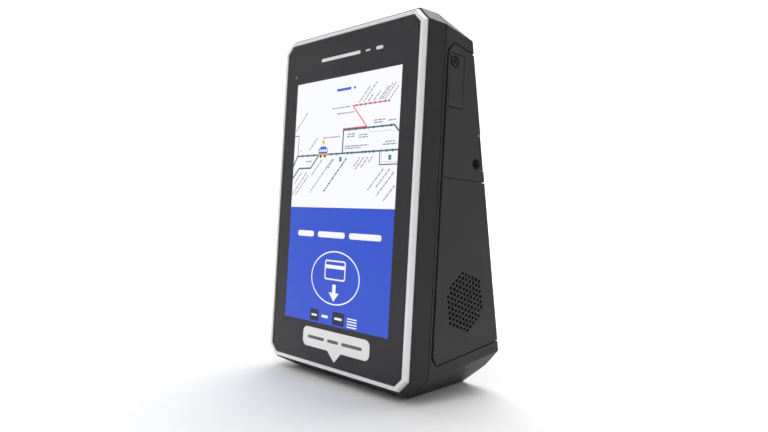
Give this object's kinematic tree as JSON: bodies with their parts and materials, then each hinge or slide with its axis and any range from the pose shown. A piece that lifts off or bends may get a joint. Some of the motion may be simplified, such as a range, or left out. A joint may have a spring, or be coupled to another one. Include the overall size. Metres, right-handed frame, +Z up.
{
  "type": "ticket validator",
  "caption": "Wedge-shaped ticket validator with an upright display, a bright bezel, wrap-round rear covers, a side speaker grille, a service flap and a rear bracket.",
  "frame": {"origin": "centre of the body at the bottom, on the plane it stands on", "axes": "+X to the right of a person facing the display, +Y from the display into the body, +Z up"},
  "size_m": [0.1368, 0.077, 0.2158],
  "materials": {
    "black_frame": "fine satin moulding",
    "bright_ring": "satin silver plating over plastic",
    "cover_glass": "glossy, black printed border",
    "black_foam": "soft matte",
    "label_film": "printed vinyl",
    "display": "lit panel",
    "steel": "plain zinc-plated",
    "board": "solder-masked laminate",
    "ferrite": "sintered, matte",
    "plate_alloy": "mill finish",
    "brass": "turned",
    "sink_alloy": "black anodised",
    "connector_plastic": "natural nylon",
    "flex_film": "amber film",
    "capacitor_can": "shrink sleeve",
    "battery_wrap": "shrink sleeve",
    "black_parts": "moulded",
    "window_red": "dark red filter",
    "shell_plastic": "fine moulded grain",
    "cover_plastic": "fine moulded grain",
    "black_steel": "black coated steel",
    "cloth": "fine acoustic mesh"
  },
  "bodies": {
    "root": {"front_frame": "black_frame", "bezel_ring": "bright_ring", "front_glass": "cover_glass", "glass_tape": "black_foam", "scan_label": "label_film", "touch_sensor": "cover_glass", "display_panel": "display", "backlight_tray": "steel", "light_sensor": "black_parts", "card_antenna": "board", "ferrite_sheet": "ferrite", "mid_plate": "plate_alloy", "plate_screws": "steel", "board_standoffs": "brass", "main_board": "board", "board_screws": "steel", "processor_shield": "steel", "heat_sink": "sink_alloy", "board_connectors": "connector_plastic", "display_ribbon": "flex_film", "modem_board": "board", "radio_antenna": "connector_plastic", "power_board": "board", "power_capacitors": "capacitor_can", "backup_battery": "battery_wrap", "sounder": "black_parts", "scanner_module": "black_parts", "scanner_holder": "steel", "scanner_window": "window_red", "rear_shell": "shell_plastic", "shell_screws": "steel", "upper_cover": "cover_plastic", "lower_cover": "cover_plastic", "cover_screws": "black_steel", "flap_seal": "black_foam", "flap_hinge_pin": "steel", "service_board": "board", "card_sockets": "steel", "rear_bracket": "black_steel", "speaker_frame": "black_parts", "speaker_magnet": "ferrite", "speaker_cloth": "cloth", "tamper_switch": "black_parts", "rear_connector": "black_parts", "cable_grommet": "black_foam"},
    "flap": {"service_flap": "cover_plastic"},
    "flap_fastener": {"flap_screw": "black_steel"},
    "lock": {"lock_screw": "black_steel"},
    "cone": {"speaker_cone": "black_parts"},
    "plunger": {"tamper_plunger": "connector_plastic"}
  },
  "joints": [
    {"name": "service_flap_hinge", "type": "hinge", "parent": "root", "child": "flap", "pos_m": [0.06361, -0.01231, 0.165], "axis": [0.0732, 0.9973, 0], "range_deg": [0, 95]},
    {"name": "flap_screw_turn", "type": "hinge", "parent": "flap", "child": "flap_fastener", "pos_m": [0.06367, -0.01432, 0.189], "axis": [0.9973, -0.0732, 0], "continuous": true},
    {"name": "lock_screw_turn", "type": "hinge", "parent": "root", "child": "lock", "pos_m": [0.06228, 0.00772, 0.1341], "axis": [0.9973, -0.0732, 0], "continuous": true},
    {"name": "speaker_cone_stroke", "type": "slide", "parent": "root", "child": "cone", "axis": [0.9973, -0.0732, 0], "range_m": [-0.0004, 0.0004], "stiffness_N_per_m": 800},
    {"name": "tamper_plunger_press", "type": "slide", "parent": "root", "child": "plunger", "axis": [0, -0.9794, -0.2018], "range_m": [0, 0.001], "stiffness_N_per_m": 200}
  ]
}
